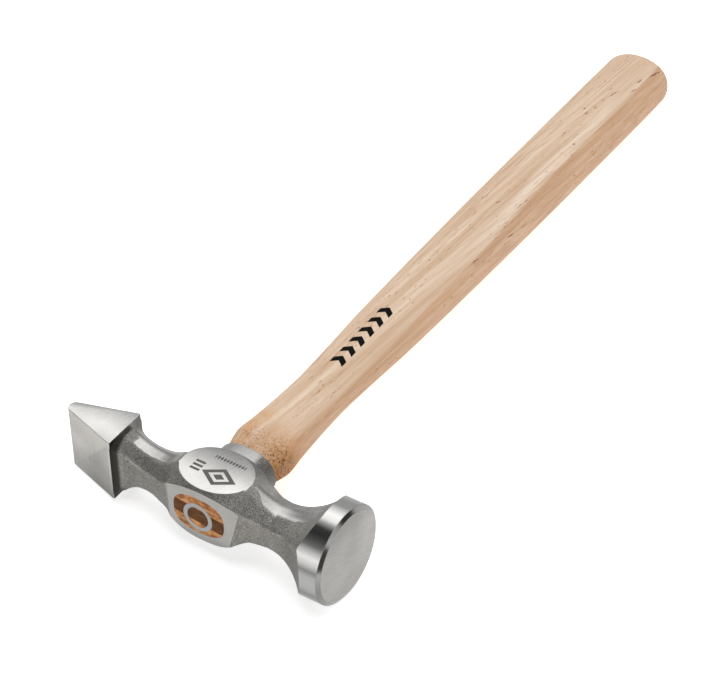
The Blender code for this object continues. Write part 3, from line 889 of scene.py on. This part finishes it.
def steel_material():
    g = Surface("forged_steel")
    on = steel_regions(g)
    top = g.any(on["cheek"], on["block_top"])
    ground = g.any(*(mask for name, mask in on.items() if name not in SOFT_REGIONS))
    worn = g.any(ground, g.times(on["patch"], 0.9), g.times(on["collar"], 0.8))
    disc_rim = g.any(on["disc_side"], on["disc_chamfer"])

    vector = g.mix_vector(top, g.stretched(BLOCK_SCRATCHES), g.stretched(*TOP_SCRATCHES))
    for name, factors, turn in AREA_SCRATCHES:
        vector = g.mix_vector(on[name], vector, g.stretched(factors, turn))
    scratch = g.noise(vector, 1.0, 5.0, 0.7)
    broad = g.noise(g.position, 0.12, 2.0)
    blast = g.noise(g.position, 2.3, 4.0, 0.8)
    stain = g.noise(g.position, 0.35, 3.0, 0.6)
    dents = g.cells(g.position, 1.3)

    grain = g.scaled(g.minus(stain, 0.5), 0.1, blast)
    g.colour = g.ramp(grain, FORGED_TONES)
    # Painted shade: the inside corner at the back of the peen block is painted nearly black
    g.paint(on["block_fillet"], PAINTED_DEEP_SHADE)
    # Painted highlight on the far facets of the necks, lightly textured by the blast grain
    g.paint(on["far_facet_highlight"], g.mix(g.fit(grain, 0.6, 0.4, 0.0, 0.4), FAR_FACET_HIGHLIGHT, BLASTED_MID))
    # Painted reflection of the floor, lightening the near side facets
    g.paint(on["near_side"], g.tint(NEAR_SIDE_REFLECTION_TINT))
    # Wear and painted highlight along the near ridges of the necks
    g.paint(on["ridge_wear_and_highlight"], GROUND_LIGHT, 0.5)
    # Painted shade, broken up by the stain noise, in the crease at the root of the collar on its +X side
    g.paint(g.zone((g.y, 12.0, 13.5), (g.x, 5.5, 7.5, 9.5, 11.5), (stain, 0.3, 0.5)), PAINTED_DEEP_SHADE, 0.5)

    ground_colour = g.ramp(g.scaled(scratch, 0.75, g.times(broad, 0.3)), GROUND_TONES)
    speckled = g.times(g.fit(blast, 0.5, 0.62, 0.0, 0.55), on["patch"])
    g.paint(worn, g.mix(speckled, ground_colour, BLASTED_MID))
    g.paint(disc_rim, DISC_RIM)
    # Painted light and shade, with some changes of tone, multiplied into the colour
    g.colour = g.tint(g.triple(shading_and_tone(g, on, worn)))
    g.paint(g.any(on["block_sides"], on["disc_face"], on["eye_flat"]), g.tint(WARM_TINT))
    mark = cheek_mark(g, on["cheek"])
    g.paint(mark, ETCHED)

    roughness = g.blend(worn, 0.42, g.fit(scratch, 0.3, 0.7, 0.2, 0.3))
    roughness = g.blend(disc_rim, roughness, 0.1)
    roughness = g.blend(mark, roughness, 0.6)

    crown = g.bump(crowned(g, top, on["eye_flat"]), 1.0)
    forged_normal = g.bump(g.plus(blast, g.times(dents, 0.4)), 0.22, 0.9, crown)
    ground_normal = g.bump(scratch, 0.014, 0.7, crown)
    return g.finish(roughness, 1.0, g.mix_vector(worn, forged_normal, ground_normal))


def shading_and_tone(g, on, worn):
    """The slow changes of tone over the head, mostly painted light and shade, as one factor on its colour.
    """
    values = {"x": g.x, "y": g.y, "z": g.z, "abs_x": g.abs(g.x)}
    forged = g.minus(1.0, worn)
    areas = {**on, "forged": forged, "forged_near": g.all(forged, on["near_side"])}
    tone = 1.0
    for area, limits, level in SHADING_AND_TONES:
        masks = [areas[area]] if area in areas else []
        if limits:
            masks.append(g.zone(*((values[axis], *ends) for axis, ends in limits.items())))
        if isinstance(level, tuple):
            level = g.fit(values[level[0]], *level[1:])
        tone = g.times(tone, g.blend(g.all(*masks), 1.0, level))
    return tone


# The mark on the cheek: X, Y and half sizes of the big diamond, the three bars, and the row of small
# diamonds, which has X, Y and how far it reaches
MARK_BIG = (2.4, -1.7, 7.0, 4.5)
MARK_BARS_X = -7.0
MARK_BARS_Y = (-2.4, -2.4 + 1.9, -2.4 + 1.9 * 2)
MARK_BAR_END_X = (1.9 + 0.06, 1.9)
MARK_BAR_END_Y = (0.5 + 0.06, 0.5)
MARK_ROW = (1.8, 6.3, 6.2, 6.0)
MARK_ROW_STEP = 2.4
MARK_SMALL = (0.55, 1.1)


def diamond(g, u, v, half_u, half_v):
    """Distance number of a diamond: below 1 inside."""
    return g.plus(g.abs(g.math("DIVIDE", u, half_u)), g.abs(g.math("DIVIDE", v, half_v)))


def cheek_mark(g, cheek):
    """An etched emblem of plain shapes: a double diamond, three bars and a row of small diamonds."""
    big_x, big_y, *big_size = MARK_BIG
    big = diamond(g, g.plus(g.x, -big_x), g.plus(g.y, -big_y), *big_size)
    outline = g.zone((big, 1.0, 0.98), (big, 0.6, 0.62))
    core = g.fit(big, 0.34, 0.32)
    bars = []
    for bar_y in MARK_BARS_Y:
        from_x, from_y = g.abs(g.minus(g.x, MARK_BARS_X)), g.abs(g.minus(g.y, bar_y))
        bars.append(g.zone((from_x, *MARK_BAR_END_X), (from_y, *MARK_BAR_END_Y)))
    row_x, row_y, *row_ends = MARK_ROW
    row_u = g.math("PINGPONG", g.plus(g.x, 10 * MARK_ROW_STEP), MARK_ROW_STEP / 2)
    row = diamond(g, g.minus(row_u, MARK_ROW_STEP / 4), g.minus(g.y, row_y), *MARK_SMALL)
    row = g.zone((row, 1.0, 0.9), (g.abs(g.minus(g.x, row_x)), *row_ends))
    return g.all(g.any(outline, core, g.any(*bars), row), cheek, g.fit(g.z, 0.0, 1.0))


def ring_material():
    g = Surface("mild_steel")
    strokes = g.noise(g.stretched((7.0, 1.0, 0.3)), 1.0, 4.0, 0.7)
    speckle = g.noise(g.position, 3.5, 4.0, 0.7)
    g.colour = g.ramp(strokes, RING_TONES)
    g.paint(g.fit(speckle, 0.62, 0.72), RING_SPECK)
    return g.finish(g.fit(speckle, 0.3, 0.7, 0.3, 0.45), 1.0, g.bump(strokes, 0.02, 0.8))


# ---------------- wood


WOOD_PALE = (0.79, 0.63, 0.49)
WOOD_LIGHT = (0.7, 0.525, 0.38)
WOOD_MID = (0.62, 0.43, 0.29)
WOOD_STREAK = (0.5, 0.3, 0.175)
WOOD_SIDE = (0.61, 0.38, 0.235)
PALE_STRIPE = (0.86, 0.72, 0.59)
FLECK = (0.16, 0.045, 0.008)
SHOULDER_STAIN = (0.6, 0.285, 0.1)
SHOULDER_DARK = (0.36, 0.13, 0.03)
PORE = (0.27, 0.08, 0.015)
SPECK = (0.03, 0.012, 0.004)
PRINT_BLACK = (0.003, 0.003, 0.003)
WOOD_TONES = ((0.34, WOOD_MID), (0.47, WOOD_LIGHT), (0.62, WOOD_PALE))
END_GRAIN_TONES = ((0.36, (0.22, 0.085, 0.026)), (0.5, (0.4, 0.17, 0.058)), (0.62, (0.58, 0.28, 0.11)))
END_PORE = (0.12, 0.045, 0.015)
DARK_WOOD_TONES = ((0.32, (0.05, 0.018, 0.006)), (0.52, (0.11, 0.044, 0.014)), (0.72, (0.2, 0.09, 0.032)))
DARK_WOOD_SPECK = (0.32, 0.14, 0.05)

# Shares of X and Z in the distance across the grip: 0 on its middle line, positive to the lower side
ACROSS_X, ACROSS_Z = 0.832, -0.555
GRAIN_TURN = (0, 0, 3.5)
# The four main grains: how closely each repeats across and along the grip, its detail and its roughness
GRAINS = ((0.2, 0.006, 3.0, 0.55), (0.62, 0.008, 3.0, 0.55), (1.2, 0.011, 3.0, 0.6), (2.6, 0.05, 4.0, 0.65))
YEAR_RING_WIDTH = 3.1
YEAR_RING_SLANT = -0.11
# The brown lane along the lower side: two places along the grip, then where its edge is at each
LANE_EDGE = (140.0, 235.0, 2.6, 0.2)
STAINED_Y = (40.0, 22.0)
ROUGH_Y = (36.0, 24.0)
# Short cracks and knots towards the butt: place across and along the grip, length and width
BUTT_FLECKS = (
    (3.6, 286.0, 4.6, 0.35), (1.2, 276.5, 2.6, 0.3), (-2.5, 262.0, 4.0, 0.22), (-6.5, 247.0, 0.9, 0.4),
    (0.6, 226.0, 0.7, 0.4), (2.0, 270.0, 3.0, 0.2), (-4.2, 178.0, 1.6, 0.2), (5.2, 148.0, 2.4, 0.2),
)


def drawn_out(g, across, along, detail=2.0, roughness=0.5, turn=(0, 0, 0)):
    """Noise drawn out along the grip."""
    return g.noise(g.stretched((across, along, across), turn), 1.0, detail, roughness)


def handle_material():
    g = Surface("pale_hardwood")
    across = g.scaled(g.z, ACROSS_Z, g.times(g.x, ACROSS_X))
    bands, streaks, fine_streaks, fibres = (drawn_out(g, *numbers, GRAIN_TURN) for numbers in GRAINS)
    g.colour = g.ramp(bands, WOOD_TONES)
    g.paint(g.fit(streaks, 0.5, 0.68, 0.0, 0.4), WOOD_MID)
    g.paint(g.fit(streaks, 0.5, 0.34, 0.0, 0.4), WOOD_PALE)

    wobble = drawn_out(g, 0.08, 0.02, 3.0)
    lane_depth = g.minus(across, g.scaled(wobble, 4.0, g.fit(g.y, *LANE_EDGE)))
    lane = g.times(g.fit(lane_depth, -0.2, 0.9), g.fit(streaks, 0.35, 0.6, 0.7, 1.0))
    g.paint(lane, WOOD_SIDE)
    upper_lane = g.fit(across, -6.0, -9.0, 0.0, 0.3)
    upper_streak = g.zone((g.abs(g.plus(across, 5.0)), 2.2, 0.6), (bands, 0.6, 0.4))
    g.paint(g.any(upper_lane, g.times(upper_streak, 0.45)), WOOD_MID)

    # Thin dark lines along the grip: many in the brown lane, a few elsewhere
    line_zone = drawn_out(g, 0.25, 0.012)
    lined = g.scaled(g.fit(lane_depth, -0.5, 1.5), 0.16, line_zone)
    thin_lines = g.zone((fine_streaks, 0.48, 0.58), (lined, 0.46, 0.62))
    g.paint(thin_lines, WOOD_STREAK, 0.62)
    lane_rim = g.all(g.zone((lane_depth, -0.3, 0.6, 1.0, 4.5)), g.fit(g.y, 120.0, 200.0, 0.25, 1.0))
    g.paint(g.all(lane_rim, g.fit(streaks, 0.4, 0.56, 0.3, 1.0), 0.5), WOOD_STREAK)
    beside_lane = ((lane_depth, -0.4, -1.4), (lane_depth, -5.5, -3.0))
    pale_stripe = g.zone(*beside_lane, (g.y, 130.0, 190.0, 240.0, 268.0))
    pale_stripe = g.all(pale_stripe, g.fit(streaks, 0.66, 0.42, 0.4, 1.0))
    g.paint(pale_stripe, PALE_STRIPE, 0.75)

    # Slanting year rings, cut at a low angle by the upper side
    ring_shift = drawn_out(g, 0.05, 0.01)
    ring_line = g.scaled(ring_shift, 9.0, g.scaled(g.y, YEAR_RING_SLANT, across))
    ring = g.math("FRACT", g.math("DIVIDE", ring_line, YEAR_RING_WIDTH))
    late_wood = g.zone((ring, 0.55, 0.92, 0.94, 1.0), (bands, 0.38, 0.56))
    g.paint(late_wood, WOOD_STREAK, 0.25)
    g.paint(g.fit(fibres, 0.48, 0.66, 0.0, 0.24), WOOD_STREAK)
    g.paint(g.fit(fibres, 0.46, 0.3, 0.0, 0.2), WOOD_PALE)

    pore_field = drawn_out(g, 2.0, 0.26, turn=GRAIN_TURN)
    pores = g.zone((pore_field, 0.645, 0.7), (drawn_out(g, 0.16, 0.02), 0.42, 0.52))
    g.paint(pores, PORE, 0.8)

    # The stained and roughened shoulder
    near_head = g.fit(g.y, *STAINED_Y)
    stain_field = drawn_out(g, 0.22, 0.14, 5.0, 0.7)
    lower = g.fit(across, -8.0, 9.0, 0.25, 1.0)
    stain = g.all(near_head, lower, g.fit(stain_field, 0.36, 0.56, 0.5, 1.0))
    upper_band = g.zone((across, -4.0, -8.0), (g.y, 42.0, 34.0))
    upper_band = g.all(upper_band, g.fit(stain_field, 0.4, 0.6, 0.4, 1.0))
    stained = g.any(g.times(stain, 0.95), g.times(upper_band, 0.6))
    g.paint(stained, SHOULDER_STAIN)
    rough_grain = drawn_out(g, 1.5, 1.2, 5.0, 0.8)
    rough_zone = g.fit(g.y, *ROUGH_Y)
    mottle = g.all(rough_zone, g.fit(rough_grain, 0.51, 0.6))
    lower_corner = g.zone((across, 4.0, 10.0), (g.y, 35.0, 24.0))
    lower_corner = g.all(lower_corner, g.fit(stain_field, 0.34, 0.5, 0.5, 1.0))
    darkened = g.any(g.times(mottle, 0.55), g.times(lower_corner, 0.5))
    g.paint(darkened, SHOULDER_DARK)
    bare = g.all(rough_zone, g.fit(rough_grain, 0.46, 0.38))
    g.paint(bare, WOOD_PALE, 0.35)
    cluster = g.noise(g.position, 0.2, 2.0)
    speck_edge = g.minus(0.7, g.scaled(cluster, 0.135, g.fit(across, -4.0, 7.0, 0.0, 0.055)))
    speck_edge = g.plus(speck_edge, g.fit(g.y, 24.0, 33.0, 0.0, 0.1))
    specks = g.fit(g.minus(rough_grain, speck_edge), -0.01, 0.015)
    g.paint(g.all(specks, rough_zone), SPECK, 0.9)

    flecks = butt_flecks(g, across)
    g.paint(flecks, FLECK)
    mark = handle_mark(g)
    g.paint(mark, PRINT_BLACK)

    roughness = g.blend(near_head, g.fit(fibres, 0.3, 0.7, 0.48, 0.62), 0.75)
    relief = g.plus(g.times(fibres, 0.5), g.times(pores, -0.9))
    normal = g.bump(relief, 0.05, 0.7)
    rough_relief = g.times(g.minus(rough_grain, specks), near_head)
    normal = g.bump(rough_relief, 0.3, 0.9, normal)
    return g.finish(roughness, 0.0, normal, g.blend(g.any(mark, flecks), 0.3, 0.06))


def butt_flecks(g, across):
    """The short cracks and knots towards the butt, with wandering outlines."""
    warp = g.noise(g.position, 0.8, 3.0, 0.6)
    masks = []
    for side, along, length, width in BUTT_FLECKS:
        run = g.minus(g.y, along)
        offset = g.minus(g.minus(across, side), 0.6)
        offset = g.scaled(run, -0.2, g.scaled(warp, 1.2, offset))
        masks.append(g.fit(diamond(g, run, offset, length, width), 1.2, 0.6))
    return g.all(g.any(*masks), g.fit(g.z, -6.0, -4.0), 0.85)


PRINT_START_Y = 70.5
PRINT_STEP_Y = 6.0
PRINT_END = 6 * PRINT_STEP_Y
PRINT_HALF_X = 2.7
PRINT_CENTRE_X = 0.6
CHEVRON_SLANT = 0.75
CHEVRON_EDGES = (2.0, 2.15, 4.85, 5.0)


def handle_mark(g):
    """A printed row of plain chevrons on the upper side."""
    u = g.minus(g.y, PRINT_START_Y)
    v = g.abs(g.minus(g.x, PRINT_CENTRE_X))
    within = g.zone((u, 0.0, 0.02, PRINT_END - 0.02, PRINT_END))
    phase = g.math("FLOORED_MODULO", g.plus(u, g.times(v, CHEVRON_SLANT)), PRINT_STEP_Y)
    stripe = g.zone((phase, *CHEVRON_EDGES))
    print_wear = g.fit(g.noise(g.position, 3.0, 4.0, 0.7), 0.3, 0.36, 0.75, 1.0)
    sides = g.fit(v, PRINT_HALF_X, PRINT_HALF_X - 0.12)
    return g.all(stripe, within, sides, g.fit(g.z, 0.0, 1.0), print_wear)


def end_grain_material():
    g = Surface("end_grain")
    blotch = g.noise(g.stretched((0.35, 1.0, 0.8)), 1.0, 4.0, 0.6)
    pores = g.noise(g.position, 3.2, 3.0, 0.6)
    g.colour = g.ramp(blotch, END_GRAIN_TONES)
    g.paint(g.fit(pores, 0.56, 0.68, 0.0, 0.7), END_PORE)
    return g.finish(0.6, 0.0, g.bump(pores, 0.12, 0.8), 0.15)


def dark_wood_material():
    g = Surface("dark_hardwood")
    lines = g.noise(g.stretched((0.25, 0.3, 3.0)), 1.0, 4.0, 0.65)
    specks = g.noise(g.position, 2.6, 3.0, 0.6)
    g.colour = g.ramp(lines, DARK_WOOD_TONES)
    g.paint(g.fit(specks, 0.6, 0.7, 0.0, 0.5), DARK_WOOD_SPECK)
    return g.finish(0.65, 0.0, g.bump(lines, 0.1, 0.8), 0.1)


# ---------------- stage


FLOOR_GLOW = 0.62
FLOOR_TONES = ((0.3, (0.9, 0.9, 0.9)), (0.7, (0.93, 0.93, 0.93)))
FLOOR_HALF_SIZE = 4.0
FLOOR_GAP = 0.0002
# How far in from the ends of the poll, the peen and the butt the hammer rests on the floor, in mm
POLL_REST, PEEN_REST, BUTT_REST = 6.5, 1.0, 7.0


def make_floor():
    """A pale floor through the three points that the hammer rests on, so it is slightly tilted."""
    poll_point = Vector((FACE_X - POLL_REST, 0, -FACE_RADIUS))
    peen_point = Vector((PEEN_TIP_X + PEEN_REST, 0, -PEEN_HALF_Z))
    butt_point = Vector((0, HANDLE_END_Y - BUTT_REST, -HANDLE_STATIONS[-1][2]))
    normal = (peen_point - poll_point).cross(butt_point - poll_point).normalized()
    if normal.z < 0:
        normal.negate()
    bm = bmesh.new()
    bmesh.ops.create_grid(bm, x_segments=1, y_segments=1, size=FLOOR_HALF_SIZE)
    floor = mesh_object("floor", bm)
    floor.rotation_euler = normal.to_track_quat("Z", "Y").to_euler()
    floor.location = (poll_point + Vector((EYE_X, 0, 0))) * MM - normal * FLOOR_GAP
    g = Surface("floor")
    g.colour = g.ramp(g.noise(g.position, 0.002, 2.0), FLOOR_TONES)
    floor.data.materials.append(g.finish(0.8))
    g.shader.inputs["Emission Strength"].default_value = FLOOR_GLOW
    floor.visible_glossy = False


# Angle in degrees round the X axis from the front horizon over the top, and the brightness there
STUDIO_BANDS = (
    (-180, 0.46), (-134, 0.66), (-87, 0.4), (-66, 0.66), (-45, 0.72), (-30, 0.68), (-17, 0.36), (-3, 0.9),
    (12, 1.3), (24, 0.8), (38, 0.22), (52, 0.1), (66, 0.04), (82, 0.06), (94, 0.5), (104, 1.35), (120, 1.6),
    (136, 1.0), (150, 0.46), (180, 0.42),
)
# Where each dark card is, and how nearly a ray has to point there for its edge and for its core
DARK_CARDS = (((0.96, -0.18, -0.2), 0.95, 0.985), ((0.76, 0.63, 0.15), 0.95, 0.985))
CARD_LEVEL = 0.1
KEY_POWER = 10.8
KEY_SIZE = 1.2
KEY_PLACE = (-0.1, 0.1, 1.45)
KEY_TARGET = ((EYE_X + 10) * MM, 0.12, 0)


def make_world():
    """Soft panels and dark gaps between them, in bands that run along X."""
    world = bpy.data.worlds.new("studio")
    bpy.context.scene.world = world
    world.use_nodes = True
    g = Graph(world.node_tree)
    direction = g.node("ShaderNodeTexCoord").outputs["Generated"]
    _, back, up = g.node("ShaderNodeSeparateXYZ", Vector=direction).outputs
    angle = g.math("ARCTAN2", up, g.times(back, -1))
    stops = [((degrees + 180) / 360, (level,) * 3) for degrees, level in STUDIO_BANDS]
    level = g.ramp(g.fit(angle, -math.pi, math.pi, smooth=False), stops)
    for towards, edge, core in DARK_CARDS:
        facing = g.dot(direction, Vector(towards).normalized())
        level = g.times(level, g.fit(facing, edge, core, 1.0, CARD_LEVEL))
    # The camera itself sees plain white beyond the floor
    camera_ray = g.node("ShaderNodeLightPath").outputs["Is Camera Ray"]
    background = world.node_tree.nodes["Background"]
    g.feed(background.inputs["Color"], (1, 1, 1))
    g.feed(background.inputs["Strength"], g.blend(camera_ray, level, 1.0))


def make_key_light():
    data = bpy.data.lights.new("key", "AREA")
    data.shape = "RECTANGLE"
    data.size = data.size_y = KEY_SIZE
    data.energy = KEY_POWER
    light = add_object("key", data)
    light.location = KEY_PLACE
    direction = Vector(KEY_TARGET) - Vector(KEY_PLACE)
    light.rotation_euler = direction.to_track_quat("-Z", "Y").to_euler()
    light.visible_glossy = False


# Angles in degrees, lengths in mm. The aim is seen from the camera: to the right of the eye, and up.
CAMERA_AZIMUTH = 34.15
CAMERA_ELEVATION = 40.07
CAMERA_ROLL = -1.27
CAMERA_DISTANCE = 921.7
CAMERA_AIM = (48.93, 51.7)
CAMERA_LENS = 136.1


def make_camera():
    azimuth, elevation, roll = map(math.radians, (CAMERA_AZIMUTH, CAMERA_ELEVATION, CAMERA_ROLL))
    back = Vector((
        math.sin(azimuth) * math.cos(elevation),
        -math.cos(azimuth) * math.cos(elevation),
        math.sin(elevation),
    ))
    right = Vector((0, 0, 1)).cross(back).normalized()
    up = back.cross(right)
    turned_right = math.cos(roll) * right + math.sin(roll) * up
    turned_up = -math.sin(roll) * right + math.cos(roll) * up
    aim = CAMERA_AIM[0] * turned_right + CAMERA_AIM[1] * turned_up + Vector((EYE_X, 0, 0))
    data = bpy.data.cameras.new("camera")
    data.lens = CAMERA_LENS
    data.clip_start = 0.01
    camera = add_object("camera", data)
    rows = (turned_right, turned_up, back)
    place = Matrix.Translation((aim + CAMERA_DISTANCE * back) * MM)
    camera.matrix_world = place @ Matrix(rows).transposed().to_4x4()
    bpy.context.scene.camera = camera


def main():
    make_head([steel_material()])
    make_handle([handle_material(), end_grain_material()])
    make_wooden_wedge([dark_wood_material()])
    make_ring_wedge([ring_material()])
    make_floor()
    make_key_light()
    make_world()
    make_camera()
    bpy.context.scene.view_settings.view_transform = "Standard"


main()
